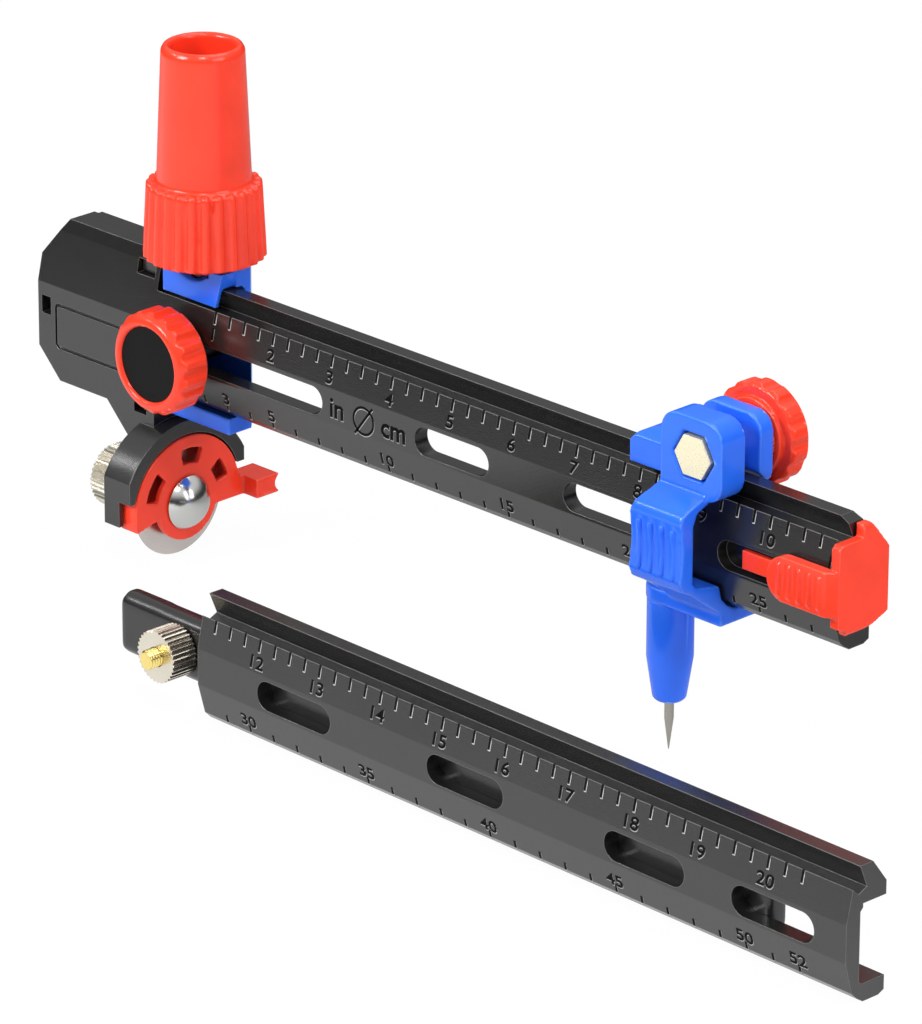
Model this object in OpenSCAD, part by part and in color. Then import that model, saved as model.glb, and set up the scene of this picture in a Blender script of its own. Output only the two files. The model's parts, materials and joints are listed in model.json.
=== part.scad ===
// Circle cutter with a rotary blade, a swivel handle, a needle slider and an extension bar.
// Millimetres. The origin is the lowest point of the blade, on the cutting plane.
// X runs along the bar to the needle, Y to the back, Z up.

/* [Bar] */
// right end of the bar, as a radius on its scale
bar_end = 139.9; // [132:0.1:160]
// foremost face of the bar before the middle plane
bar_front = 4.3; // [3.8:0.1:5]
// back edges of the bar behind the middle plane
bar_back = 3.3; // [2.8:0.1:4]
// underside of the bar above the cutting point
bar_low = 26.5; // [25:0.1:32]
// height of the bar with its rail
bar_high = 20.2; // [19.2:0.1:21.6]
// lower crease of the front above the underside
crest_low = 6.6; // [5:0.1:8]
// upper crease of the front above the underside
crest_high = 12.2; // [11.4:0.1:13]
// height of the rail above the scale ridge
rail_high = 3.1; // [2.5:0.1:3.6]
// set-back of the scale ridge from the foremost face
ridge_in = 1.1; // [0.6:0.1:1.5]
// set-back of the lower edge from the foremost face
foot_in = 1.3; // [0.6:0.1:1.6]
// height of the lower edge above the underside
foot_high = 1.8; // [1.4:0.1:2.4]
// thickness of the web that carries the slots
web = 2.65; // [2.2:0.05:3]
// thickness of the bottom flange
flange = 2.65; // [2:0.05:3.2]
// thickness of the top with the rail
rail_wall = 5.65; // [5:0.05:6.2]
// front edge of the rail's top before the middle plane
rail_front = 1.9; // [1.5:0.1:2]
// middle of the slots above the underside
slot_up = 9.3; // [8.9:0.05:9.6]
// height of the slots
slot_high = 4.5; // [4.2:0.1:5]
// length of the short slots
slot_long = 15.4; // [12:0.2:18]
// left end of the long slot for the clamp screw
slot_from = 3.4; // [2:0.1:4]
// right end of the long slot
slot_to = 36.9; // [30:0.1:44]
// left end of the second slot
slot_two = 56.5; // [50:0.1:60]
// distance between the short slots
slot_step = 30.6; // [26:0.1:31]

/* [Scale] */
// width of an engraved mark
mark_wide = 0.45; // [0.3:0.05:0.7]
// depth of an engraved mark
mark_deep = 0.3; // [0.2:0.05:0.5]
// length of an inch mark
mark_inch = 1.9; // [1.2:0.1:2.5]
// length of a centimetre mark
mark_cm = 1.1; // [0.8:0.1:1.6]

/* [Head] */
// left end of the head before the cutting plane
head_left = 26.6; // [24:0.2:34]
// underside of the head above the cutting point
head_low = 23.4; // [22.8:0.1:24.2]
// top of the head above the cutting point
head_top = 49.25; // [48:0.05:53]
// height of the lower left bevel
head_cut_low = 4.75; // [2:0.05:6]
// height of the upper left bevel
head_cut_top = 6.25; // [3:0.05:8]
// wall of the hollow head
head_wall = 2; // [1.4:0.1:2.4]
// thickness of the rear cover
cover_thick = 1.5; // [1:0.1:2.5]
// clearance of the cover's snap legs
snap_gap = 0.15; // [0.1:0.05:0.3]
// left end of the arm under the head
arm_left = 11.1; // [9:0.1:14]
// left face of the arm beside the wheel
arm_face = 6.5; // [5.8:0.1:7.5]

/* [Wheel] */
// radius of the blade
blade_r = 9; // [8.6:0.1:9.4]
// thickness of the blade
blade_thick = 0.3; // [0.2:0.05:0.5]
// radius of the axle
axle_r = 2.9; // [2:0.1:3.1]
// radius of the domed bolt head
dome_r = 4.3; // [3.8:0.1:5]
// height of the dome
dome_high = 2.4; // [1.6:0.1:3]
// outer radius of the guard
guard_r = 10.8; // [10.4:0.1:11]
// radius of the guard below the axle
guard_low_r = 6.1; // [5.6:0.1:6.2]
// front face of the guard before the cutting plane
guard_face = 2.4; // [2.2:0.1:3]
// wall of the guard
guard_wall = 1; // [0.8:0.05:1.2]
// length of the guard's thumb lever from the axle
lever_long = 16.2; // [15:0.1:19]
// thickness of the lever
lever_thick = 3.1; // [2.4:0.1:3.6]
// outer radius of the shroud over the guard
shroud_r = 13.3; // [12.8:0.1:13.8]
// rear wall of the shroud
shroud_wall = 1.5; // [1.2:0.1:1.8]
// depth of the shroud behind the cutting plane
shroud_back = 3.5; // [3.2:0.1:4]
// length of the boss that carries the axle
boss_long = 4.5; // [3:0.1:6]
// radius of the knurled axle nut
axle_nut_r = 5.05; // [4.5:0.05:6]
// height of the knurled axle nut
axle_nut_high = 5.4; // [3:0.1:6]

/* [Handle block] */
// left face of the handle block
block_left = 0.6; // [0:0.1:0.9]
// width of the handle block
block_wide = 13.2; // [12.6:0.1:15]
// front of the upper jaw before the middle plane
block_front = 3; // [2.9:0.1:3.6]
// thickness of the back wall
block_wall = 2.4; // [2.1:0.1:3.5]
// thickness of the upper jaw over the rail
block_top = 2.6; // [2.4:0.1:3.2]
// thickness of the lower jaw under the bar
block_low = 2.6; // [2.2:0.05:3]
// bevel of the back edges
block_bevel = 3.2; // [1:0.1:3.8]
// radius of the hollow for the thumb in the upper jaw
scallop_r = 5.2; // [4.6:0.1:5.3]

/* [Handle] */
// top of the handle above the cutting point
handle_top = 84; // [75:0.5:100]
// outer radius of the rim
handle_rim_r = 6.35; // [5.8:0.05:6.6]
// inner radius of the hollow handle
handle_bore_r = 4.9; // [4.4:0.1:5.2]
// outer radius of the tube above the skirt
handle_tube_r = 7.25; // [7:0.05:7.4]
// height of the ribbed skirt
skirt_high = 12; // [9:0.1:16]
// radius of the skirt's bottom between the ribs
skirt_low_r = 8.7; // [8.2:0.05:9.5]
// radius of the skirt's top between the ribs
skirt_top_r = 8.1; // [7.8:0.05:8.3]
// number of ribs on the skirt
rib_count = 26; // [16:1:30]
// radius of a rib
rib_r = 0.75; // [0.5:0.05:0.85]
// radius of the pivot pin
pivot_r = 2; // [1.5:0.1:2.4]

/* [Clamp knob] */
// radius of the clamp knob
knob_r = 8.1; // [7.8:0.05:9]
// thickness of the clamp knob
knob_thick = 6.7; // [5.8:0.1:9]
// radius of the inlay disc
inlay_r = 5.9; // [5.4:0.05:6.1]
// thickness of the inlay disc
inlay_thick = 0.8; // [0.5:0.1:1.2]
// number of flutes
flute_count = 18; // [12:1:22]
// radius of the clamp screw
screw_r = 2; // [1.6:0.1:2]
// thickness of the washers
washer_thick = 0.7; // [0.5:0.1:0.8]

/* [Needle slider] */
// radius that is set, from the cutting plane to the needle
needle_at = 104.7; // [60:0.1:106]
// length of the collar to the left of the needle
collar_left = 5.7; // [4.6:0.1:8]
// length from the needle to the left side of the ears
ear_from = 4.2; // [3.6:0.1:5]
// width of the ears
ear_wide = 11.9; // [11.4:0.1:13.5]
// thickness of the front ear
ear_front = 4.9; // [4.6:0.1:5.6]
// thickness of the rear ear
ear_rear = 2.75; // [2.2:0.05:3]
// height of the front ear above the rail
ear_high = 9.3; // [8.6:0.1:10.5]
// width of the grip
grip_wide = 9; // [8.4:0.1:11]
// foremost face of the grip before the middle plane
grip_front = 12.1; // [11.6:0.1:13]
// thickness of the grip
grip_thick = 2.8; // [2.2:0.1:3.2]
// thickness of the plate under the bar
plate_thick = 2.3; // [2.2:0.05:3]
// thickness of the rear wall
slider_wall = 1.4; // [1.2:0.1:1.5]
// radius of the slider bolt
bolt_r = 2; // [1.6:0.1:2.2]
// height of the bolt above the rail
bolt_up = 3.5; // [3.4:0.05:4.6]
// half width of the bolt's hexagon over the corners
bolt_hex_r = 3.5; // [3.4:0.1:4]
// radius of the rear knob
rear_knob_r = 7.75; // [7:0.05:7.9]
// thickness of the rear knob
rear_knob_thick = 3.7; // [3:0.1:5]
// number of flutes of the rear knob
rear_flutes = 14; // [10:1:18]
// radius of the needle holder
holder_r = 3.45; // [3:0.05:3.6]
// lower end of the needle holder above the cutting point
holder_end = 7.9; // [6.5:0.1:9]
// radius of the needle
needle_r = 0.7; // [0.5:0.05:0.9]
// length of the needle's point
needle_point = 4.9; // [3:0.1:6]

/* [End cap] */
// thickness of the cap before the bar's end
cap_thick = 1.6; // [1.4:0.1:3]
// back of the cap behind the middle plane
cap_back = 5.1; // [4.4:0.1:5.5]
// length of the thumb tab along the bar
tab_long = 10.9; // [10:0.1:14]
// height of the thumb tab
tab_high = 6.9; // [6.4:0.1:7.4]
// thickness of the thumb tab
tab_thick = 1.9; // [1.5:0.1:2.4]
// length of the tongue before the tab
tongue_long = 6.8; // [4:0.1:7.4]
// height of the tongue
tongue_high = 2.9; // [2:0.1:3.4]

/* [Extension] */
// length of the extension bar
ext_long = 129.5; // [124:0.1:150]
// left end of the extension bar
ext_x = 51.4; // [40:0.1:80]
// distance of the extension before the bar
ext_y = 38.8; // [30:0.2:60]
// turn of the extension to the bar
ext_turn = -1; // [-3:0.1:0]
// length of the joining strip outside the extension
strip_out = 20.2; // [17:0.1:30]
// length of the joining strip inside the extension
strip_in = 113; // [80:1:120]
// height of the joining strip
strip_high = 9.9; // [8.6:0.1:10.2]
// thickness of the joining strip
strip_thick = 3.5; // [2.6:0.1:4]
// distance of the stud from the extension bar
stud_out = 6.9; // [6:0.1:8]
// radius of the stud
stud_r = 1.5; // [1.2:0.1:1.9]
// radius of the knurled nut on the stud
stud_nut_r = 4; // [3.6:0.05:4.4]
// height of the knurled nut on the stud
stud_nut_high = 4.4; // [3.5:0.1:6]

/* [Fits] */
// clearance between pieces that slide
play = 0.3; // [0.3:0.05:0.4]
// radial clearance of pieces that turn
run = 0.05; // [0.03:0.01:0.08]

/* [Hidden] */

black = [0.06, 0.06, 0.065];
red = [0.95, 0.16, 0.1];
blue = [0.1, 0.28, 0.92];
steel = [0.75, 0.76, 0.78];
nickel = [0.8, 0.77, 0.68];
brass = [0.86, 0.68, 0.25];
zinc = [0.9, 0.85, 0.68];

inch = 25.4;
over = 1;
fine = 72;
mid = 48;
small = 24;

// bar section
rail_top = bar_low + bar_high;
ridge_z = rail_top - rail_high;
ridge_y = -bar_front + ridge_in;
crest_z = bar_low + crest_high;
dip_z = bar_low + crest_low;
edge_y = -bar_front + foot_in;
edge_z = bar_low + foot_high;
web_y = -bar_front + web;
shelf_z = bar_low + flange;
roof_z = rail_top - rail_wall;
slot_z = bar_low + slot_up;
slot_floor = 0.75;
groove_y = ridge_y + 1.1;
neck_y = groove_y + 1.6;
crown_y = 0.6;
chamfer = 1.1;
fillet = 0.5;
face_lean = atan(ridge_in / (ridge_z - crest_z));
foot_lean = atan(foot_in / (dip_z - edge_z));
foot_y = edge_y + chamfer;
bar_section = [
    [edge_y, edge_z], [foot_y, edge_z - chamfer], [foot_y + chamfer, bar_low],
    [bar_back - chamfer, bar_low], [bar_back, bar_low + fillet], [bar_back, shelf_z],
    [web_y + fillet, shelf_z], [web_y, shelf_z + fillet], [web_y, roof_z - chamfer],
    [web_y + fillet, roof_z - chamfer + fillet], [web_y + fillet, roof_z], [bar_back, roof_z],
    [bar_back, ridge_z - fillet], [crown_y, rail_top], [-rail_front, rail_top],
    [neck_y, ridge_z - fillet / 2], [groove_y, ridge_z - 2 * fillet], [ridge_y, ridge_z],
    [-bar_front, crest_z], [-bar_front, dip_z]
];

// head
head_right = 0.5;
head_back = bar_back;
head_lean = ridge_in / (ridge_z - crest_z);
head_edge_z = head_top - 1.9;
head_edge_y = -bar_front + (head_edge_z - crest_z) * head_lean;
head_top_y = head_edge_y + 0.7;
head_slope = 0.77;
arm_low = 21.2;
window_left = [[-head_left + 0.8, slot_z - 2.15], [-head_left + 2.9, slot_z + 0.8]];
window_top = [[-5.4, head_top - 4.15], [-1.4, head_top - 1.85]];
window_low = [[-4.9, head_low - 0.3], [-2.1, head_low + 1.3]];
windows = [window_left, window_top, window_low];
leg_short = 2.5;
panel = [[-head_left + 3.8, head_low + 5.2], [-head_right - 1.5, slot_z + 0.25]];
panel_r = 1;
panel_groove = 0.5;

// wheel
guard_gap = play;
shroud_in = guard_r + guard_gap;
shroud_side = shroud_in + 0.8;
shroud_front = guard_face - 0.1;
shroud_step = -0.2;
shroud_tail = -1.7;
shroud_notch = 2.5;
shroud_end = 3.7;
hub_r = 4.5;
boss_r = 4.6;
hub_gap = 0.2;
boss_end = -shroud_back - boss_long;
dome_at = guard_face + play;
dome_ball = (dome_r * dome_r + dome_high * dome_high) / (2 * dome_high);
dome_half = asin(dome_r / dome_ball);
axle_nut_at = boss_end - washer_thick - play;
axle_out = 0.6;
guard_from = -13.5;
guard_windows = [[13, 46], [82, 111], [141, 165]];
window_out = guard_r - 2.1;
window_in = guard_low_r + 0.15;
lever_top = 1.2;
lever_root = shroud_r + play - 2;
lever_tip = guard_face + 3.1;

// handle and its block
handle_x = block_left + block_wide / 2 - 0.4;
block_right = block_left + block_wide;
block_back = bar_back + play + block_wall;
block_roof = rail_top + play + block_top;
block_floor = bar_low - play - block_low;
jaw_in = -rail_front - play;
jaw_low = ridge_z + play + 0.1;
jaw_cut = 1.6;
hub_low = block_roof - 1;
hub_out = 4.4;
recess_r = hub_out + play + 0.2;
skirt_low = block_roof + 0.75;
skirt_top = skirt_low + skirt_high;
handle_floor = skirt_top + 0.3;
handle_wall = 1.4;
rim_round = 0.45;
pivot_head_r = 3.6;
pivot_head = 2;
pivot_low = rail_top + play + 0.4;
scallop_y = -block_front - 1.2;
scallop_z = block_roof + 2.5;
rib_lean = atan((skirt_low_r - skirt_top_r) / skirt_high);

// clamp knob
washer_y = -bar_front - play;
knob_back = washer_y - washer_thick - play;
knob_front = knob_back - knob_thick;
inlay_y = knob_front + 0.5;
screw_head_r = screw_r + 1.3;
screw_head = 2;
screw_tip = block_back + 0.4;
nut_hex_r = 4.04;
nut_high = 1.8;
flute_r = 1.3;
washer_r = 4.6;

// needle slider
needle_x = needle_at;
collar_x = needle_x - collar_left;
ear_x = needle_x + ear_from;
ear_end = ear_x + ear_wide;
grip_x = ear_x - 1.2;
grip_end = ear_x + grip_wide;
collar_end = ear_x + 0.5;
wall_y = bar_back + play;
slider_back = wall_y + slider_wall;
plate_top = bar_low - play;
plate_low = plate_top - plate_thick;
plate_front = -holder_r - 0.15;
ear_back_y = jaw_in;
ear_front_y = ear_back_y - ear_front;
slit_end = wall_y - ear_rear;
ear_top = rail_top + ear_high;
ear_rear_top = ear_top - 0.4;
ear_round = 3;
collar_roof = block_roof;
collar_bevel = 1.6;
collar_slope = 3;
collar_drop = 2.2;
bolt_x = ear_x + 6.4;
bolt_z = rail_top + bolt_up;
hex_room = 0.5;
hex_deep = 2.6;
head_proud = 0.2;
knob_at = wall_y + washer_thick + play;
knob_neck = 0.8;
neck_r = 5.7;
insert_r = bolt_r + 1.1;
hook_gap = play + 0.05;
grip_in = -grip_front + grip_thick;
grip_top_z = ridge_z - 0.95;
grip_low_z = edge_z + 2.2;
ramp_z = ridge_z + 1.6;
grip_rib_r = 0.5;
grip_rib_step = 2.2;
grip_dip = 0.45;
holder_taper = 6.8;
holder_end_r = 2.5;
spigot_r = 2;
spigot_high = 1.7;
needle_in = 8;

// end cap
cap_from = bar_end + play;
cap_to = cap_from + cap_thick;
cap_front = -bar_front - 0.9;
cap_top = jaw_low - 0.4;
cap_rise = rail_top - 1.1;
cap_rise_y = -0.3;
cap_peak = 1.8;
cap_low = edge_z + 1.3;
cap_hook = edge_z + 2.8;
tab_y = -bar_front - play;
tab_from = bar_end - tab_long;
tab_z = slot_z + 0.5;
tongue_y = tab_y + 1.6;
tongue_face = tab_y + 0.6;
plug_long = 6;
tab_rib_r = 0.4;
tab_rib_step = 1.9;

// extension
strip_bevel = 1.2;
ext_slot_first = 12.8;
ext_slot_step = 35.45;
ext_slot_last = 21.4;
ext_slots = [ext_slot_first, ext_slot_first + ext_slot_step, ext_slot_first + 2 * ext_slot_step,
             ext_long - ext_slot_last];
ext_slot_long = 15.5;
stud_y = web_y - play - stud_nut_high - 1.9;
stud_nut_y = web_y - play;
stud_head_r = 2.6;
stud_head = 0.7;
cm_split = floor((bar_end + 1) / 5);
last_inch = 20.5;
last_cm = 52;

// shapes pushed along an axis
module along_x(x0, x1) {
    translate([x0, 0, 0]) rotate([90, 0, 90]) linear_extrude(height = x1 - x0) children();
}

module along_y(y0, y1) {
    translate([0, y1, 0]) rotate([90, 0, 0]) linear_extrude(height = y1 - y0) children();
}

module along_z(z0, z1) {
    translate([0, 0, z0]) linear_extrude(height = z1 - z0) children();
}

// rods along an axis
module rod_x(x0, x1, r, y = 0, z = blade_r, n = mid) {
    translate([x0, y, z]) rotate([0, 90, 0]) cylinder(h = x1 - x0, r = r, $fn = n);
}

module rod_y(y0, y1, r, x, z, n = mid) {
    translate([x, y0, z]) rotate([-90, 0, 0]) cylinder(h = y1 - y0, r = r, $fn = n);
}

module rod_z(z0, z1, r, x, y = 0, n = mid) {
    translate([x, y, z0]) cylinder(h = z1 - z0, r = r, $fn = n);
}

// flat shape of a slot with round ends
module slot(x0, x1, z, high) {
    translate([x0 + high / 2, z - high / 2]) square([x1 - x0 - high, high]);
    for (x = [x0 + high / 2, x1 - high / 2]) translate([x, z]) circle(d = high, $fn = small * 2);
}

// flat rectangle with round corners
module rounded(low, high, r) {
    translate([low[0] + r, low[1]]) square([high[0] - low[0] - 2 * r, high[1] - low[1]]);
    translate([low[0], low[1] + r]) square([high[0] - low[0], high[1] - low[1] - 2 * r]);
    for (x = [low[0] + r, high[0] - r], z = [low[1] + r, high[1] - r]) {
        translate([x, z]) circle(r = r, $fn = small);
    }
}

// wedge seen along X, with angles from the front upwards
function wedge(a0, a1, r) = concat([[0, 0]], [for (i = [0:6]) let (a = a0 + (a1 - a0) * i / 6)
    [-r * cos(a), r * sin(a)]]);

// knurled disc outline
module knurl(r, count) {
    difference() {
        circle(r = r, $fn = fine);
        for (i = [0:count - 1]) rotate(i * 360 / count) translate([r, 0]) rotate(45)
            square(0.42, center = true);
    }
}

// engraved marks of both scales, x being the set radius less the start
module marks(start, first_inch, end_inch, first_cm, end_cm) {
    for (x = [first_inch * inch / 2:inch / 8:end_inch * inch / 2]) {
        translate([x - start, ridge_y, ridge_z]) rotate([-face_lean, 0, 0])
            translate([-mark_wide / 2, -over, -mark_inch])
                cube([mark_wide, over + mark_deep, mark_inch + over]);
    }
    for (d = [first_cm:1:end_cm]) {
        translate([d * 5 - start, edge_y, edge_z]) rotate([foot_lean, 0, 0])
            translate([-mark_wide / 2, -over, -over]) cube([mark_wide, over + mark_deep, over + mark_cm]);
    }
}

function head_outline(inset) = [
    [-head_left + inset, head_low + head_cut_low + inset / 2],
    [-head_left + head_cut_low + inset / 2, head_low + inset],
    [-head_right - inset, head_low + inset],
    [-head_right - inset, head_top - inset],
    [-head_left + head_cut_top * head_slope + inset / 2, head_top - inset],
    [-head_left + inset, head_top - head_cut_top - inset / 2]
];

// head and arm in one outline, seen from the front
beam_outline = concat(
    [head_outline(0)[0], head_outline(0)[1]],
    [[-arm_left, head_low], [-arm_face, head_low - arm_left + arm_face], [-arm_face, blade_r],
     [-shroud_back + fillet, blade_r], [-shroud_back + fillet, arm_low], [-head_right, arm_low]],
    [head_outline(0)[3], head_outline(0)[4], head_outline(0)[5]]
);

function head_section(inset) = [
    [-bar_front + inset, 0], [head_back + inset, 0], [head_back + inset, head_top],
    [head_top_y + inset, head_top], [head_edge_y + inset, head_edge_z], [-bar_front + inset, crest_z]
];

module window_cut(w, grow, y0, y1) {
    along_y(y0, y1) translate([w[0][0] - grow, w[0][1] - grow])
        square([w[1][0] - w[0][0] + 2 * grow, w[1][1] - w[0][1] + 2 * grow]);
}

// ring of the shroud, cut off at the given heights before and behind the axle
module shroud_ring(front_low, back_low) {
    difference() {
        circle(r = shroud_r, $fn = fine);
        circle(r = shroud_in, $fn = fine);
        translate([-2 * shroud_r, -2 * shroud_r]) square([2 * shroud_r, 2 * shroud_r + front_low]);
        translate([0, -2 * shroud_r]) square([2 * shroud_r, 2 * shroud_r + back_low]);
        for (y = [-2 * shroud_r - shroud_side, shroud_side]) translate([y, -shroud_r]) square(2 * shroud_r);
    }
}

module wheel_carrier() {
    translate([0, 0, blade_r]) {
        difference() {
            along_x(-shroud_back, shroud_front) shroud_ring(shroud_tail, shroud_end);
            translate([shroud_step, -2 * shroud_r, -shroud_r])
                cube([2 * shroud_front, 2 * shroud_r, shroud_r + shroud_notch]);
        }
        along_x(-shroud_back, -shroud_back + shroud_wall) {
            difference() {
                circle(r = shroud_in + fillet, $fn = fine);
                translate([-2 * shroud_r, -2 * shroud_r]) square([4 * shroud_r, 2 * shroud_r + shroud_tail]);
            }
            circle(r = boss_r + fillet, $fn = mid);
        }
    }
    rod_x(boss_end, -blade_thick / 2 - hub_gap, boss_r);
}

module main_beam() {
    color(black) difference() {
        union() {
            along_x(-head_right - over, bar_end) polygon(bar_section);
            intersection() {
                along_y(-bar_front - over, head_back + over) polygon(beam_outline);
                along_x(-head_left - over, 0) polygon(head_section(0));
            }
            wheel_carrier();
        }
        intersection() {
            along_y(-bar_front, head_back + over) polygon(head_outline(head_wall));
            along_x(-head_left, 0) polygon(head_section(head_wall));
        }
        for (w = windows) window_cut(w, 0, -bar_front - over, head_back + over);
        along_y(-bar_front - over, -bar_front + panel_groove) difference() {
            rounded(panel[0], panel[1], panel_r);
            rounded([panel[0][0] + panel_groove, panel[0][1] + panel_groove],
                    [panel[1][0] - panel_groove, panel[1][1] - panel_groove], panel_r - panel_groove);
        }
        along_y(-bar_front - over, web_y + over) {
            slot(slot_from, slot_to, slot_z, slot_high);
            for (x = [slot_two, slot_two + slot_step]) slot(x, x + slot_long, slot_z, slot_high);
        }
        along_y(-bar_front - over, web_y - slot_floor)
            slot(slot_two + 2 * slot_step, slot_two + 2 * slot_step + slot_long, slot_z, slot_high);
        along_y(-bar_front - over, tongue_y + play) translate([slot_two + 2 * slot_step + slot_long / 2,
            slot_z - slot_high / 2]) square([bar_end, slot_high]);
        along_y(-bar_front - over, bar_back + over) polygon([
            [bar_end - chamfer, rail_top + over], [bar_end - chamfer, rail_top],
            [bar_end, rail_top - chamfer], [bar_end + over, rail_top - chamfer],
            [bar_end + over, rail_top + over]
        ]);
        rod_x(boss_end - over, over, axle_r);
        marks(0, 1, bar_end * 2 / inch, 2, cm_split - 1);
    }
}

module rear_cover() {
    color(black) {
        along_y(head_back, head_back + cover_thick) polygon(head_outline(play));
        for (w = windows) window_cut(w, -snap_gap, -bar_front + leg_short, head_back + over);
    }
}

module axle_bolt() {
    color(steel) translate([0, 0, blade_r]) rotate([0, 90, 0]) rotate_extrude($fn = fine) polygon(concat(
        [[0, axle_nut_at - axle_nut_high - axle_out], [axle_r, axle_nut_at - axle_nut_high - axle_out],
         [axle_r, dome_at]],
        [for (i = [0:8]) let (a = dome_half * (1 - i / 8))
            [dome_ball * sin(a), dome_at + dome_high - dome_ball * (1 - cos(a))]]
    ));
}

module axle_washer() {
    color(steel) difference() {
        rod_x(boss_end - washer_thick, boss_end, boss_r);
        rod_x(boss_end - over - washer_thick, boss_end + over, axle_r);
    }
}

module axle_nut() {
    color(nickel) difference() {
        translate([0, 0, blade_r]) along_x(axle_nut_at - axle_nut_high, axle_nut_at) knurl(axle_nut_r, 40);
        rod_x(axle_nut_at - axle_nut_high - over, axle_nut_at + over, axle_r + run);
    }
}

module rotary_blade() {
    color(steel) translate([0, 0, blade_r]) rotate([0, 90, 0]) rotate_extrude($fn = 2 * fine) polygon([
        [axle_r + run, -blade_thick / 2], [blade_r - 0.9, -blade_thick / 2], [blade_r, -blade_thick / 10],
        [blade_r, blade_thick / 10], [blade_r - 0.9, blade_thick / 2], [axle_r + run, blade_thick / 2]
    ]);
}

module guard_outline() {
    intersection() {
        circle(r = guard_r, $fn = fine);
        polygon(wedge(guard_from, 180, 2 * guard_r));
    }
    circle(r = guard_low_r, $fn = fine);
}

module blade_guard() {
    color(red) difference() {
        translate([0, 0, blade_r]) {
            along_x(guard_face - guard_wall, guard_face) difference() {
                guard_outline();
                for (w = guard_windows) intersection() {
                    polygon(wedge(w[0], w[1], 2 * guard_r));
                    difference() {
                        circle(r = window_out, $fn = fine);
                        circle(r = window_in, $fn = fine);
                    }
                }
            }
            along_x(-shroud_back + shroud_wall + 2 * play, guard_face) intersection() {
                polygon(wedge(guard_from, 180, 2 * guard_r));
                difference() {
                    circle(r = guard_r, $fn = fine);
                    circle(r = guard_r - guard_wall, $fn = fine);
                }
            }
            along_x(blade_thick / 2 + hub_gap, guard_face) circle(r = hub_r, $fn = mid);
            along_x(guard_face - guard_wall, guard_face) translate([guard_low_r - 2, lever_top - lever_thick])
                square([lever_root - guard_low_r + 3, lever_thick]);
            along_x(shroud_step - 0.2, lever_tip) difference() {
                translate([lever_root, lever_top - lever_thick])
                    square([lever_long - lever_root, lever_thick]);
                translate([lever_long + lever_thick / 4, lever_top - lever_thick / 2])
                    circle(r = lever_thick / 2 - 0.1, $fn = small);
            }
        }
        rod_x(-over, guard_face + over, axle_r + run);
    }
}

module handle_block() {
    block_section = [
        [-block_front, jaw_low], [-block_front, block_roof], [block_back, block_roof],
        [block_back, block_floor], [foot_y, block_floor], [foot_y, bar_low - play],
        [wall_y, bar_low - play], [wall_y, ridge_z], [crown_y + 1.5 * play, rail_top + play],
        [jaw_in, rail_top + play], [jaw_in, jaw_low]
    ];
    color(blue) difference() {
        intersection() {
            along_x(block_left, block_right) polygon(block_section);
            along_z(block_floor - over, block_roof + over) polygon([
                [block_left, -block_front - over], [block_right, -block_front - over],
                [block_right, block_back - block_bevel], [block_right - block_bevel, block_back],
                [block_left + block_bevel, block_back], [block_left, block_back - block_bevel]
            ]);
        }
        rod_z(hub_low - play, block_roof + over, recess_r, handle_x);
        rod_z(rail_top, block_roof + over, pivot_r, handle_x);
        translate([handle_x, scallop_y, scallop_z]) sphere(r = scallop_r, $fn = mid);
        along_y(-block_front - over, 0) polygon([
            [block_right - jaw_cut, jaw_low - over], [block_right - jaw_cut, jaw_low],
            [block_right, block_roof], [block_right + over, block_roof], [block_right + over, jaw_low - over]
        ]);
        rod_y(0, block_back + over, screw_r + run, handle_x, slot_z);
        rod_y(block_back - nut_high, block_back + over, nut_hex_r, handle_x, slot_z, 6);
    }
}

module handle_pivot() {
    color(steel) {
        rod_z(pivot_low, handle_floor + play + over, pivot_r, handle_x);
        rod_z(handle_floor + play, handle_floor + play + pivot_head, pivot_head_r, handle_x);
    }
}

module clamp_nut() {
    color(steel) difference() {
        rod_y(block_back - nut_high, block_back, nut_hex_r, handle_x, slot_z, 6);
        rod_y(0, block_back + over, screw_r + run, handle_x, slot_z);
    }
}

module clamp_washer() {
    color(steel) difference() {
        rod_y(washer_y - washer_thick, washer_y, washer_r, handle_x, slot_z);
        rod_y(washer_y - washer_thick - over, washer_y + over, screw_r + run, handle_x, slot_z);
    }
}

module swivel_handle() {
    bore_r = pivot_r + run;
    color(red) {
        translate([handle_x, 0, 0]) rotate_extrude($fn = fine) polygon([
            [bore_r, hub_low], [hub_out, hub_low], [hub_out, skirt_top - 5],
            [skirt_low_r - handle_wall, skirt_top - 5], [skirt_low_r - handle_wall, skirt_low],
            [skirt_low_r, skirt_low], [skirt_top_r, skirt_top - rim_round],
            [skirt_top_r - rim_round, skirt_top], [handle_tube_r, skirt_top],
            [handle_rim_r, handle_top - 2 * rim_round],
            [handle_rim_r - rim_round, handle_top - rim_round / 3],
            [handle_rim_r - 2 * rim_round, handle_top], [handle_bore_r, handle_top - rim_round],
            [handle_bore_r, handle_floor], [bore_r, handle_floor]
        ]);
        for (i = [0:rib_count - 1]) translate([handle_x, 0, skirt_low]) rotate([0, 0, i * 360 / rib_count])
            translate([skirt_low_r, 0, 0]) rotate([0, -rib_lean, 0]) {
                translate([0, 0, rib_r / 4]) cylinder(h = skirt_high - rib_r, r = rib_r, $fn = 16);
                translate([0, 0, skirt_high - rib_r * 3 / 4]) sphere(r = rib_r, $fn = 16);
            }
    }
}

module flutes(r, count, y0, y1, x, z, cut) {
    for (i = [0:count - 1]) translate([x, 0, z]) rotate([0, i * 360 / count, 0])
        translate([r + cut * 0.62, y0 - over, 0]) rotate([-90, 0, 0])
            cylinder(h = y1 - y0 + 2 * over, r = cut, $fn = small);
}

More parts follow.
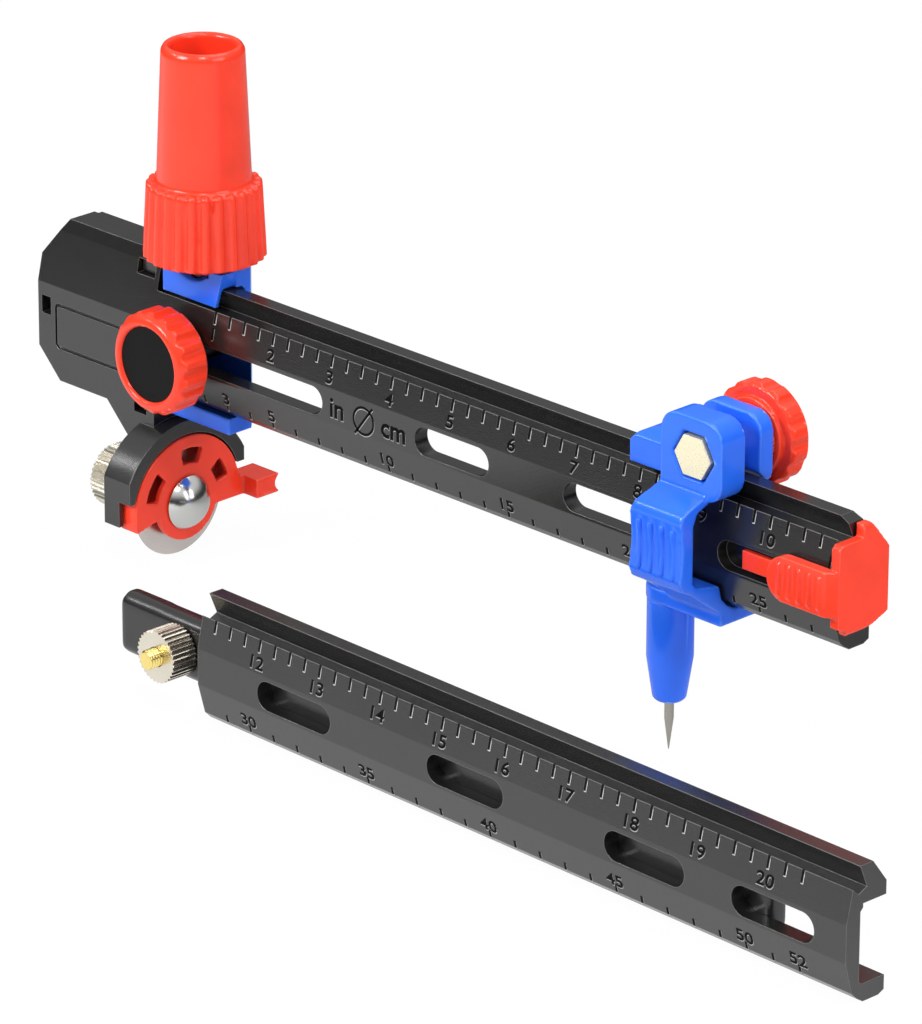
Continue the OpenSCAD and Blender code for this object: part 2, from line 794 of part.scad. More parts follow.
module clamp_knob() {
    color(red) difference() {
        translate([handle_x, 0, slot_z]) rotate([90, 0, 0]) rotate_extrude($fn = fine) polygon([
            [0, -knob_back], [washer_r, -knob_back], [washer_r, -knob_back + 0.8],
            [knob_r - 0.8, -knob_back + 0.8], [knob_r, -knob_back + 1.6],
            [knob_r, -knob_front - 1.2], [knob_r - 1, -knob_front - 0.2],
            [inlay_r + 0.4, -knob_front], [inlay_r, -inlay_y + 0.1], [inlay_r, -inlay_y - inlay_thick],
            [0, -inlay_y - inlay_thick]
        ]);
        flutes(knob_r, flute_count, knob_front, knob_back, handle_x, slot_z, flute_r);
        rod_y(knob_front, knob_back + over, screw_r, handle_x, slot_z);
        rod_y(knob_front, inlay_y + inlay_thick + screw_head, screw_head_r, handle_x, slot_z);
    }
}

module knob_inlay() {
    color(black) rod_y(inlay_y, inlay_y + inlay_thick, inlay_r, handle_x, slot_z, fine);
}

module clamp_screw() {
    color(steel) {
        rod_y(inlay_y + inlay_thick, screw_tip, screw_r, handle_x, slot_z);
        rod_y(inlay_y + inlay_thick, inlay_y + inlay_thick + screw_head, screw_head_r, handle_x, slot_z);
    }
}

// easing from 0 to 1
function ease(t) = t * t * (3 - 2 * t);

// lower front face of the bar at a height
function foot_at(z) = -bar_front + foot_in * (dip_z - z) / (dip_z - edge_z);

// front jaw seen along X: ear, ramp, hollow grip, shelf, hook and plate
function ramp_points(y0, z0, y1, z1) = [for (i = [0:6])
    [y0 + (y1 - y0) * ease(i / 6), z0 + (z1 - z0) * i / 6]];

function grip_points(y, z0, z1) = [for (i = [1:5]) [y + grip_dip * sin(180 * i / 6), z0 + (z1 - z0) * i / 6]];

jaw_section = concat(
    [[ear_back_y, rail_top + over], [ear_front_y, rail_top + over]],
    ramp_points(ear_front_y, ramp_z, -grip_front + 0.3, grip_top_z),
    [[-grip_front, grip_top_z - 0.8]],
    grip_points(-grip_front, grip_top_z - 0.8, grip_low_z + 2.4),
    [[-grip_front, grip_low_z + 2.4], [-grip_front + 0.6, grip_low_z + 0.9], [-grip_front + 2.4, grip_low_z]],
    [[plate_front, plate_top - 0.2], [plate_front, plate_low], [slider_back, plate_low],
     [slider_back, plate_top]],
    [[foot_y + chamfer, plate_top], [foot_y - hook_gap, edge_z - chamfer - hook_gap / 2],
     [edge_y - hook_gap, edge_z], [edge_y - hook_gap - 0.5, edge_z + 2.1],
     [grip_in + 0.8, edge_z + 3], [grip_in, edge_z + 3.8]],
    [[grip_in, grip_top_z - 1.6], [grip_in + 0.7, grip_top_z], [ear_front_y + 2, jaw_low],
     [ear_back_y, jaw_low]]
);

collar_section = [
    [-block_front, jaw_low], [-block_front, collar_roof - collar_bevel],
    [-block_front + collar_bevel, collar_roof], [wall_y, collar_roof], [slider_back, collar_roof - 1.4],
    [slider_back, plate_low], [plate_front, plate_low], [plate_front, plate_top], [wall_y, plate_top],
    [wall_y, ridge_z], [crown_y + 1.5 * play, rail_top + play], [jaw_in, rail_top + play], [jaw_in, jaw_low]
];

module ear_outline(top) {
    rounded([ear_x, jaw_low], [ear_end, top], ear_round);
    translate([ear_x, jaw_low]) square([ear_wide / 2, (top - jaw_low) / 2]);
}

module needle_slider() {
    color(blue) difference() {
        union() {
            intersection() {
                along_x(grip_x, grip_end) polygon(jaw_section);
                along_y(-grip_front - over, slider_back + over) polygon([
                    [grip_x, plate_low - over], [grip_end, plate_low - over], [grip_end, ear_top],
                    [ear_x, ear_top], [ear_x, ramp_z], [grip_x, grip_top_z - 1.5]
                ]);
            }
            along_y(ear_front_y, ear_back_y) ear_outline(ear_top);
            intersection() {
                along_y(slit_end, wall_y) ear_outline(ear_rear_top);
                along_x(ear_x, ear_end) polygon([
                    [slit_end, rail_top + play + 0.1], [wall_y - chamfer, rail_top - 1.4],
                    [wall_y, rail_top - 1.4], [wall_y, ear_top], [slit_end, ear_top]
                ]);
            }
            intersection() {
                along_x(collar_x - over, collar_end) polygon(collar_section);
                union() {
                    along_z(plate_low - over, plate_top + over) {
                        polygon([
                            [needle_x, plate_front], [collar_end + over, plate_front],
                            [collar_end + over, slider_back], [collar_x - 0.6, slider_back],
                            [collar_x - 0.6, holder_r / 2], [needle_x - holder_r * 0.7, plate_front * 0.7]
                        ]);
                        translate([needle_x, 0]) circle(r = -plate_front, $fn = mid);
                    }
                    along_y(-grip_front, slider_back + over) polygon([
                        [collar_x, plate_top], [collar_end, plate_top], [collar_end, collar_roof],
                        [collar_x + collar_slope, collar_roof],
                        [collar_x + collar_slope / 3, collar_roof - collar_drop / 2],
                        [collar_x, collar_roof - collar_drop]
                    ]);
                }
            }
            for (i = [0:3]) rod_z(grip_low_z + 2.6, grip_top_z - 1.8, grip_rib_r,
                grip_x + 2 + i * grip_rib_step, -grip_front + grip_dip, 16);
        }
        rod_y(ear_front_y - over, wall_y + over, bolt_r, bolt_x, bolt_z);
        rod_y(ear_front_y - over, ear_front_y + hex_deep, bolt_hex_r + hex_room, bolt_x, bolt_z, 6);
        rod_z(plate_low - over, plate_low + spigot_high, spigot_r, needle_x);
    }
}

module slider_bolt() {
    color(zinc) {
        rod_y(ear_front_y - head_proud, ear_front_y + hex_deep, bolt_hex_r, bolt_x, bolt_z, 6);
        rod_y(ear_front_y, knob_at + knob_neck + rear_knob_thick - 0.6, bolt_r, bolt_x, bolt_z);
    }
}

module bolt_washer() {
    color(steel) difference() {
        rod_y(wall_y, wall_y + washer_thick, neck_r - 0.7, bolt_x, bolt_z);
        rod_y(wall_y - over, wall_y + washer_thick + over, bolt_r, bolt_x, bolt_z);
    }
}

module needle_holder() {
    color(blue) translate([needle_x, 0, 0]) rotate_extrude($fn = mid) polygon([
        [0, holder_end + needle_in], [needle_r, holder_end + needle_in], [needle_r, holder_end],
        [holder_end_r - 0.5, holder_end], [holder_end_r, holder_end + 0.5],
        [holder_r, holder_end + holder_taper], [holder_r, plate_low], [spigot_r, plate_low],
        [spigot_r, plate_low + spigot_high], [0, plate_low + spigot_high]
    ]);
}

module needle() {
    color(steel) translate([needle_x, 0, 0]) rotate_extrude($fn = small) polygon([
        [0, 0], [needle_r / 10, 0], [needle_r, needle_point], [needle_r, holder_end + needle_in],
        [0, holder_end + needle_in]
    ]);
}

module slider_knob() {
    knob_end = knob_at + knob_neck + rear_knob_thick;
    color(red) difference() {
        translate([bolt_x, 0, bolt_z]) rotate([-90, 0, 0]) rotate_extrude($fn = fine) polygon([
            [insert_r, knob_at], [neck_r, knob_at], [neck_r, knob_at + knob_neck],
            [rear_knob_r - 0.5, knob_at + knob_neck], [rear_knob_r, knob_at + knob_neck + 0.5],
            [rear_knob_r, knob_end - 0.7], [rear_knob_r - 0.7, knob_end], [insert_r, knob_end]
        ]);
        flutes(rear_knob_r, rear_flutes, knob_at + knob_neck, knob_end, bolt_x, bolt_z, flute_r);
    }
}

module knob_insert() {
    color(brass) difference() {
        rod_y(knob_at, knob_at + knob_neck + rear_knob_thick, insert_r, bolt_x, bolt_z);
        rod_y(knob_at - over, knob_at + knob_neck + rear_knob_thick + over, bolt_r + run, bolt_x, bolt_z);
    }
}

module end_cap() {
    color(red) {
        intersection() {
            along_x(cap_from, cap_to) polygon([
                [cap_front, cap_top - fillet], [cap_front, cap_hook],
                [foot_at(cap_hook - fillet), cap_hook - fillet], [foot_at(cap_low), cap_low],
                [crown_y, cap_low], [cap_back, shelf_z + 2 * chamfer],
                [cap_back, cap_rise - 4 * chamfer], [cap_rise_y + cap_peak, cap_rise],
                [cap_rise_y, cap_rise], [cap_rise_y, cap_top], [cap_front + fillet, cap_top]
            ]);
            along_y(cap_front - over, cap_back + over) polygon([
                [cap_from, cap_low], [cap_to - fillet, cap_low], [cap_to, cap_low + fillet],
                [cap_to, cap_rise - fillet], [cap_to - fillet, cap_rise], [cap_from, cap_rise]
            ]);
        }
        along_x(bar_end - plug_long, cap_from + fillet)
            translate([web_y + 2 * play + fillet, shelf_z + play + fillet])
                square([bar_back - web_y - 3 * play - fillet, roof_z - shelf_z - 2 * play - fillet]);
        intersection() {
            along_y(tab_y - tab_thick, tab_y) slot(tab_from, cap_to + tab_high, tab_z, tab_high);
            along_z(tab_z - tab_high, tab_z + tab_high) polygon([
                [tab_from, tab_y], [tab_from, tab_y - tab_thick], [cap_from, tab_y - tab_thick],
                [cap_to, cap_front], [cap_to, tab_y]
            ]);
        }
        along_y(tongue_face, tongue_y) translate([tab_from - tongue_long, slot_z - tongue_high / 2])
            square([tongue_long + tab_high, tongue_high]);
        along_y(tab_y - fillet, tongue_y) translate([tab_from + 0.4, slot_z - tongue_high / 2])
            square([tab_high, tongue_high]);
        for (i = [0:4]) rod_z(tab_z - tab_high / 2 + 1, tab_z + tab_high / 2 - 1, tab_rib_r,
            tab_from + 2.6 + i * tab_rib_step, tab_y - tab_thick, 16);
    }
}

// place of the extension on the table
module on_table() {
    translate([ext_x, -ext_y, -bar_low]) rotate([0, 0, ext_turn]) children();
}

module extension_bar() {
    color(black) on_table() difference() {
        along_x(0, ext_long) polygon(bar_section);
        along_y(-bar_front - over, web_y + over)
            for (x = ext_slots) slot(x, x + ext_slot_long, slot_z, slot_high);
        marks(bar_end, (floor(bar_end * 8 / inch) + 1) / 4, last_inch, cm_split + 1, last_cm);
    }
}

module joining_strip() {
    half = strip_high / 2;
    color(black) on_table() difference() {
        intersection() {
            along_x(-strip_out, strip_in) polygon([
                [web_y, slot_z - half + strip_bevel], [web_y + strip_bevel, slot_z - half],
                [web_y + strip_thick, slot_z - half], [web_y + strip_thick, slot_z + half],
                [web_y + strip_bevel, slot_z + half], [web_y, slot_z + half - strip_bevel]
            ]);
            along_y(web_y - over, web_y + strip_thick + over)
                rounded([-strip_out, slot_z - half - over], [strip_in, slot_z + half + over], 2);
        }
        rod_y(web_y - over, web_y + strip_thick + over, stud_r, -stud_out, slot_z);
    }
}

module extension_stud() {
    color(brass) on_table() {
        rod_y(stud_y, web_y + strip_thick + over / 2, stud_r, -stud_out, slot_z);
        rod_y(web_y + strip_thick, web_y + strip_thick + stud_head, stud_head_r, -stud_out, slot_z);
    }
}

module extension_nut() {
    color(nickel) on_table() difference() {
        translate([-stud_out, 0, slot_z]) along_y(stud_nut_y - stud_nut_high, stud_nut_y)
            knurl(stud_nut_r, 32);
        rod_y(stud_nut_y - stud_nut_high - over, stud_nut_y + over, stud_r + run, -stud_out, slot_z);
    }
}

main_beam();
rear_cover();
axle_bolt();
axle_washer();
axle_nut();
rotary_blade();
blade_guard();
handle_block();
handle_pivot();
clamp_nut();
clamp_washer();
swivel_handle();
clamp_knob();
knob_inlay();
clamp_screw();
needle_slider();
slider_bolt();
bolt_washer();
needle_holder();
needle();
slider_knob();
knob_insert();
end_cap();
extension_bar();
joining_strip();
extension_stud();
extension_nut();
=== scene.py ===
"""Looks, light and camera of the circle cutter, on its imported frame."""
import json
import math

import bmesh
import bpy
from mathutils import Matrix, Vector


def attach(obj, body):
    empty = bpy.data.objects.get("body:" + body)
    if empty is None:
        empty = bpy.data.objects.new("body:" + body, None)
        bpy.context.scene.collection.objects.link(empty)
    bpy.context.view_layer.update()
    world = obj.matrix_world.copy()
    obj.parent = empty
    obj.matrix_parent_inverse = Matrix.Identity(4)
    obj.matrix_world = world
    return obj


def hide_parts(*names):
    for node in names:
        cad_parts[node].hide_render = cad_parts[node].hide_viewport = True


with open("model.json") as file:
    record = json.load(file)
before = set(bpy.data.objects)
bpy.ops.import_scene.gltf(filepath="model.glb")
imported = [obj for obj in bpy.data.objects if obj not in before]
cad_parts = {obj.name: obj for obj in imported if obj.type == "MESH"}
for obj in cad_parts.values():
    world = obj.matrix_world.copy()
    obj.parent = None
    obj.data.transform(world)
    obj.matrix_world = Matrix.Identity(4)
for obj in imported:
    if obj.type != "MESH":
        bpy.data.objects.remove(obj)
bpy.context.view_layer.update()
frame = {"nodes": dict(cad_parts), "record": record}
NODES = frame["nodes"]

MM = 0.001
INCH = 25.4

# Bar section in millimetres: corners of its front as (y, z), from the ridge of the scale downwards
RIDGE = (-3.2, 43.6)
CREST = (-4.3, 38.7)
DIP = (-4.3, 33.1)
FOOT = (-3.0, 28.3)
BAR_END = 139.9

# Place of the extension in millimetres and its turn in degrees
EXTENSION_AT = (51.4, -38.8, -26.5)
EXTENSION_TURN = -1.0
EXTENSION_FRAME = (Matrix.Translation(Vector(EXTENSION_AT) * MM)
                   @ Matrix.Rotation(math.radians(EXTENSION_TURN), 4, "Z"))

# Camera, solved from the marks of the scales, in metres, degrees and pixels
EYE = (0.76112, -0.69193, 0.41979)
AZIMUTH = 45.3
ELEVATION = 21.893
ROLL = 0.213
FOCAL = 7206.6
PHOTO_HEIGHT = 1024
SENSOR = 36.0
NEAREST = 0.05
FARTHEST = 20

# Sockets of the node that mixes two colours
MIX_FACTOR = 0
MIX_FIRST = 6
MIX_SECOND = 7
MIX_RESULT = 2

# Broad tint and fine grain of every surface
TINT_SIZE = 7.0
TINT_RANGE = (0.94, 1.06)
ROUGH_RANGE = (0.88, 1.12)
GRAIN_DETAIL = 3.0
GRAIN_DEPTH = 0.25

# Painted edge highlights: cosine between softened and true normal, or pointiness on finely meshed
# pieces
BEVEL_SAMPLES = 6
EDGE_COSINE = (0.75, 0.99)
POINTINESS_HIGHLIGHT = (0.525, 0.61)


# Materials
def new_material(name):
    material = bpy.data.materials.new(name)
    material.use_nodes = True
    nodes = material.node_tree.nodes
    nodes.clear()
    output = nodes.new("ShaderNodeOutputMaterial")
    shader = nodes.new("ShaderNodeBsdfPrincipled")
    material.node_tree.links.new(shader.outputs["BSDF"], output.inputs["Surface"])
    return material, shader


def add_node(material, kind, values=None, **settings):
    node = material.node_tree.nodes.new(kind)
    for key, value in settings.items():
        setattr(node, key, value)
    for key, value in (values or {}).items():
        node.inputs[key].default_value = value
    return node


def link(material, source, target):
    material.node_tree.links.new(source, target)


def shade(colour, factor):
    return tuple(min(1.0, channel * factor) for channel in colour) + (1.0,)


def noise(material, size, detail=2.0, stretch=(1, 1, 1)):
    """Noise with features of the given size in millimetres, stretched along the part's axes."""
    place = add_node(material, "ShaderNodeTexCoord")
    mapping = add_node(material, "ShaderNodeMapping", {"Scale": stretch})
    texture = add_node(material, "ShaderNodeTexNoise", {"Scale": 1 / (size * MM), "Detail": detail})
    link(material, place.outputs["Object"], mapping.inputs["Vector"])
    link(material, mapping.outputs["Vector"], texture.inputs["Vector"])
    return texture.outputs["Fac"]


def spread(material, source, low, high, dark=0.3, bright=0.7):
    """Maps a value between dark and bright to a number between low and high."""
    node = add_node(material, "ShaderNodeMapRange", {
        "From Min": dark, "From Max": bright, "To Min": low, "To Max": high})
    link(material, source, node.inputs["Value"])
    return node.outputs["Result"]


def two_colours(material, factor, first, second):
    node = add_node(material, "ShaderNodeMix", data_type="RGBA")
    node.inputs[MIX_FIRST].default_value = first
    node.inputs[MIX_SECOND].default_value = second
    link(material, factor, node.inputs[MIX_FACTOR])
    return node


def edge_mask(material, bevel):
    """One along the edges, where the softened normal leaves the true one; it places the painted
    edge highlights.
    """
    geometry = add_node(material, "ShaderNodeNewGeometry")
    dot = add_node(material, "ShaderNodeVectorMath", operation="DOT_PRODUCT")
    link(material, bevel.outputs["Normal"], dot.inputs[0])
    link(material, geometry.outputs["Normal"], dot.inputs[1])
    return spread(material, dot.outputs["Value"], 1.0, 0.0, *EDGE_COSINE)


def worn_mask(material):
    """One on the outward edges of a finely meshed piece; it places the painted edge highlights."""
    geometry = add_node(material, "ShaderNodeNewGeometry")
    return spread(material, geometry.outputs["Pointiness"], 0.0, 1.0, *POINTINESS_HIGHLIGHT)


def finish(name, colour, rough, grain, relief, edge, edge_highlight_gain, metal=0.0, stretch=(1, 1, 1),
           sheen=0.5, worn=None):
    """A moulded or metal surface: broad tint, fine grain, softened edges and painted highlights
    along the edges.

    The grain and the radius of the edges are in millimetres.
    """
    material, shader = new_material(name)
    tint = spread(material, noise(material, TINT_SIZE), 0.0, 1.0)
    dark, bright = (shade(colour, factor) for factor in TINT_RANGE)
    body = two_colours(material, tint, dark, bright)
    bevel = add_node(material, "ShaderNodeBevel", {"Radius": edge * MM}, samples=BEVEL_SAMPLES)
    mask = worn_mask(material) if worn else edge_mask(material, bevel)
    edge_highlight_mix = two_colours(material, mask, shade(colour, 1.0), worn or shade(colour, edge_highlight_gain))
    link(material, body.outputs[MIX_RESULT], edge_highlight_mix.inputs[MIX_FIRST])
    link(material, edge_highlight_mix.outputs[MIX_RESULT], shader.inputs["Base Color"])
    fine = noise(material, grain, GRAIN_DETAIL, stretch)
    smooth, coarse = (rough * factor for factor in ROUGH_RANGE)
    link(material, spread(material, fine, smooth, coarse), shader.inputs["Roughness"])
    bump = add_node(material, "ShaderNodeBump", {
        "Strength": relief, "Distance": grain * MM * GRAIN_DEPTH})
    link(material, fine, bump.inputs["Height"])
    link(material, bevel.outputs["Normal"], bump.inputs["Normal"])
    link(material, bump.outputs["Normal"], shader.inputs["Normal"])
    shader.inputs["Metallic"].default_value = metal
    shader.inputs["Specular IOR Level"].default_value = sheen
    return material


LOOKS = {}


def look(name, *values, **extra):
    LOOKS[name] = finish(name, *values, **extra)


BLACK = (0.013, 0.013, 0.0125)
RED = (0.95, 0.05, 0.02)
# Colours of the painted highlights on the edges of the finely meshed red and blue pieces
RED_EDGE_HIGHLIGHT = (1.0, 0.2, 0.12, 1.0)
BLUE = (0.022, 0.155, 0.95)
BLUE_EDGE_HIGHLIGHT = (0.18, 0.42, 1.0, 1.0)

# Name, colour, roughness, grain, relief, radius of the edges and how much lighter their painted
# highlights are
look("black_plastic", BLACK, 0.22, 0.22, 0.35, 0.22, 14.0, sheen=0.84)
look("strip_plastic", (0.014, 0.014, 0.014), 0.24, 0.6, 0.05, 0.25, 2.0, sheen=0.62)
look("inlay", (0.006, 0.006, 0.006), 0.4, 0.5, 0.08, 0.1, 1.5, sheen=0.08)
look("handle_red", RED, 0.2, 0.9, 0.12, 0.3, 1.0, stretch=(1, 1, 0.04), sheen=0.45)
look("red_grip", RED, 0.2, 1.2, 0.02, 0.3, 1.0, sheen=0.4)
look("blue_grip", BLUE, 0.2, 1.2, 0.02, 0.3, 1.0, sheen=0.4)
look("red_plastic", RED, 0.2, 1.2, 0.02, 0.3, 1.0, sheen=0.4, worn=RED_EDGE_HIGHLIGHT)
look("blue_plastic", BLUE, 0.2, 1.2, 0.02, 0.3, 1.0, sheen=0.4, worn=BLUE_EDGE_HIGHLIGHT)
look("bright_steel", (0.72, 0.72, 0.7), 0.19, 0.9, 0.0, 0.08, 1.1, metal=1.0)
look("steel", (0.8, 0.8, 0.8), 0.28, 0.3, 0.08, 0.1, 1.2, metal=1.0)
look("blade_steel", (0.72, 0.66, 0.63), 0.26, 0.25, 0.1, 0.05, 1.2, metal=1.0, stretch=(1, 6, 6))
look("needle_steel", (0.46, 0.44, 0.4), 0.3, 0.25, 0.1, 0.05, 1.2, metal=1.0, stretch=(6, 6, 1))
look("dark_steel", (0.035, 0.035, 0.035), 0.35, 0.3, 0.08, 0.1, 1.5, metal=1.0)
look("nickel", (0.76, 0.71, 0.6), 0.25, 0.3, 0.08, 0.1, 1.2, metal=1.0)
look("zinc", (0.95, 0.88, 0.62), 0.3, 0.4, 0.0, 0.03, 1.0, metal=0.6)
look("brass", (0.97, 0.76, 0.27), 0.22, 0.3, 0.06, 0.08, 1.0, metal=1.0)

# Pieces whose look differs a little from the rest of their material
OWN_LOOK = {
    "needle": "needle_steel", "clamp_washer": "dark_steel", "clamp_screw": "dark_steel",
    "handle_pivot": "dark_steel", "swivel_handle": "handle_red",
}

for entry in frame["record"]["subparts"]:
    piece = NODES[entry["node"]]
    piece.data.materials.clear()
    piece.data.materials.append(LOOKS[OWN_LOOK.get(entry["node"], entry["material_slot"])])


# Bevelled pieces, with the radius in millimetres
SOFT_EDGES = {"rear_cover": 0.2, "needle_holder": 0.2, "slider_bolt": 0.12}

# Pieces rounded all over: grid in millimetres, smoothing passes and share of the faces that is kept
MOULDED = {
    "needle_slider": (0.25, 7, 1.0), "handle_block": (0.2, 3, 1.0), "end_cap": (0.2, 4, 1.0),
    "blade_guard": (0.2, 3, 1.0), "clamp_knob": (0.18, 2, 1.0), "slider_knob": (0.18, 2, 1.0),
    "joining_strip": (0.25, 60, 0.3), "swivel_handle": (0.28, 2, 1.0),
}
WELD_GAP = 0.002
FLAT_ANGLE = 0.5
BEVEL_ANGLE = 33
BEVEL_STEPS = 3
SMOOTH_FACTOR = 0.5


def weld(piece):
    modifier = piece.modifiers.new("weld", "WELD")
    modifier.merge_threshold = WELD_GAP * MM


def soften(piece, radius):
    weld(piece)
    flat = piece.modifiers.new("flat", "DECIMATE")
    flat.decimate_type = "DISSOLVE"
    flat.angle_limit = math.radians(FLAT_ANGLE)
    bevel = piece.modifiers.new("bevel", "BEVEL")
    bevel.width = radius * MM
    bevel.segments = BEVEL_STEPS
    bevel.limit_method = "ANGLE"
    bevel.angle_limit = math.radians(BEVEL_ANGLE)
    bevel.use_clamp_overlap = True
    bevel.harden_normals = False


def round_off(piece, grid, passes, share):
    weld(piece)
    remesh = piece.modifiers.new("remesh", "REMESH")
    remesh.mode = "VOXEL"
    remesh.voxel_size = grid * MM
    remesh.use_smooth_shade = True
    smooth = piece.modifiers.new("smooth", "SMOOTH")
    smooth.factor = SMOOTH_FACTOR
    smooth.iterations = passes
    if share < 1:
        thin = piece.modifiers.new("thin", "DECIMATE")
        thin.ratio = share


for node, radius in SOFT_EDGES.items():
    soften(NODES[node], radius)
for node, sizes in MOULDED.items():
    round_off(NODES[node], *sizes)


# Pieces of the scene's own
def mesh_of(work, name):
    """Turns an edit mesh into a mesh and frees it."""
    mesh = bpy.data.meshes.new(name)
    work.to_mesh(mesh)
    work.free()
    return mesh


def flat_mesh(name, corners, faces):
    """Mesh of flat faces from (x, y) corners in millimetres."""
    mesh = bpy.data.meshes.new(name)
    mesh.from_pydata([Vector((x, y, 0)) * MM for x, y in corners], [], faces)
    return mesh


def add_piece(name, mesh, *materials):
    """Puts a mesh with its materials into the scene."""
    for material in materials:
        mesh.materials.append(material)
    piece = bpy.data.objects.new(name, mesh)
    bpy.context.scene.collection.objects.link(piece)
    return piece


def circle(steps):
    return [2 * math.pi * i / steps for i in range(steps)]


# Grip ribs on the rounded pieces, as pins along z with half round ends
PIN_AROUND = 16
PIN_ALONG = 10
PIN_BOW = 4
PIN_TIP = 0.02


def pin_rings(low, high, radius):
    """Heights and radii of the rings of one pin, from the bottom upwards."""
    turns = [math.radians(90) * j / PIN_BOW for j in range(PIN_BOW + 1)]
    end = [(radius * (1 - math.sin(t)), radius * max(math.cos(t), PIN_TIP)) for t in turns]
    bottom = [(low + z, ring) for z, ring in reversed(end)]
    top = [(high - z, ring) for z, ring in end]
    first, last = low + radius, high - radius
    middle = [(first + (last - first) * j / PIN_ALONG, radius) for j in range(1, PIN_ALONG)]
    return bottom + middle + top


def pin(work, x, y, low, high, radius, dip):
    """One pin that follows a face with a hollow of the given depth."""
    rows = []
    for z, ring in pin_rings(low, high, radius):
        middle = y + dip * math.sin(math.pi * (z - low) / (high - low))
        spots = [(x + ring * math.cos(a), middle + ring * math.sin(a), z)
                 for a in circle(PIN_AROUND)]
        rows.append([work.verts.new(Vector(spot) * MM) for spot in spots])
    for first, second in zip(rows, rows[1:]):
        for i in range(PIN_AROUND):
            k = (i + 1) % PIN_AROUND
            work.faces.new((first[i], first[k], second[k], second[i]))
    work.faces.new(reversed(rows[0]))
    work.faces.new(rows[-1])


# Rows of ribs in millimetres
GRIP_RIBS = {
    "first": 109.7, "step": 2.2, "count": 4, "y": -12.05,
    "low": 33.1, "high": 40.85, "r": 0.5, "dip": 0.42,
}
TAB_RIBS = {
    "first": 131.6, "step": 1.9, "count": 5, "y": -6.5,
    "low": 33.85, "high": 38.75, "r": 0.4, "dip": 0.0,
}


def rib_row(name, body, look_name, row):
    work = bmesh.new()
    for i in range(row["count"]):
        x = row["first"] + i * row["step"]
        pin(work, x, row["y"], row["low"], row["high"], row["r"], row["dip"])
    mesh = mesh_of(work, name)
    mesh.shade_smooth()
    piece = add_piece(name, mesh, LOOKS[look_name])
    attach(piece, body)
    return piece


rib_row("grip_ribs", "slider", "blue_grip", GRIP_RIBS)
rib_row("tab_ribs", "cap", "red_grip", TAB_RIBS)


# Marks, numbers and signs of the scales
# Painted shade in the cuts of the marks and numbers, and painted highlights on their lit edges, on
# the ends of the inch marks and along the ridge
ENGRAVING_SHADE = finish("engraving_shade", (0.004, 0.004, 0.004), 0.6, 0.2, 0.1, 0.05, 1.0, sheen=0.05)
ENGRAVING_HIGHLIGHT = finish("engraving_highlight", (0.38, 0.38, 0.37), 0.35, 0.2, 0.1, 0.05, 1.0)
GLINT = finish("engraving_glint", (0.7, 0.7, 0.68), 0.35, 0.2, 0.1, 0.05, 1.0)
RIDGE_HIGHLIGHT = finish("ridge_highlight", (0.17, 0.17, 0.165), 0.35, 0.2, 0.1, 0.05, 1.0)

# Letters: font size over height, thickness in millimetres and steps of a curve
LETTER_SIZE = 1.35
LETTER_DEPTH = 0.02
LETTER_STEPS = 3

# Sizes in millimetres of the numbers, signs and marks; the numbers are stretched along the bar
NUMBER_HIGH = 2.0
NUMBER_WIDE = 1.25
NUMBER_WEIGHT = 0.05
SIGN_HIGH = 3.3
SIGN_WEIGHT = 0.1
MARK_HALF = 0.225
MARK_INCH = 1.9
MARK_CM = 1.2

# The diameter sign: radius, stroke and half the length of its slash, and the lean of the slash
RING_R = 2.1
RING_STROKE = 0.4
RING_SLASH = 3.0
RING_LEAN = 52
RING_STEPS = 48

# Places along the bar in millimetres, and up the face as a share of its height
CM_STEP = 5
INCH_NUMBERS_UP = 0.31
CM_NUMBERS_UP = 0.41
IN_SIGN = (40.0, 0.47)
CM_SIGN = (52.0, 0.38)
RING_SIGN = (45.7, 0.42)

# Layers of the engraving, painted shade and painted highlight: name, look, drop down the face and
# lift above it in millimetres
LAYERS = (("shade", ENGRAVING_SHADE, 0.0, 0.012), ("highlight", ENGRAVING_HIGHLIGHT, 0.13, 0.004))
LAYER_SHIFT = 0.4


def face_frame(x, top, bottom, share):
    """Frame on a slanted face of the bar: x along the bar, y up the face, z outwards."""
    top, bottom = Vector((0, *top)), Vector((0, *bottom))
    along = Vector((1, 0, 0))
    rise = (top - bottom).normalized()
    spot = bottom.lerp(top, share) + along * x
    turn = Matrix((along, rise, along.cross(rise))).transposed().to_4x4()
    return Matrix.Translation(spot * MM) @ turn


def text_mesh(words, high, weight, wide=1.0):
    """Flat letters about their own middle."""
    curve = bpy.data.curves.new("words", "FONT")
    curve.body = words
    curve.size = high * MM * LETTER_SIZE
    curve.align_x = "CENTER"
    curve.align_y = "CENTER"
    curve.extrude = LETTER_DEPTH * MM
    curve.offset = weight * MM
    curve.resolution_u = LETTER_STEPS
    holder = bpy.data.objects.new("words", curve)
    bpy.context.scene.collection.objects.link(holder)
    bpy.context.view_layer.update()
    solid = holder.evaluated_get(bpy.context.evaluated_depsgraph_get())
    mesh = bpy.data.meshes.new_from_object(solid)
    bpy.data.objects.remove(holder)
    bpy.data.curves.remove(curve)
    columns = [vertex.co.x for vertex in mesh.vertices]
    rows = [vertex.co.y for vertex in mesh.vertices]
    middle = Vector(((min(columns) + max(columns)) / 2, (min(rows) + max(rows)) / 2, 0))
    mesh.transform(Matrix.Diagonal((wide, 1, 1, 1)) @ Matrix.Translation(-middle))
    return mesh


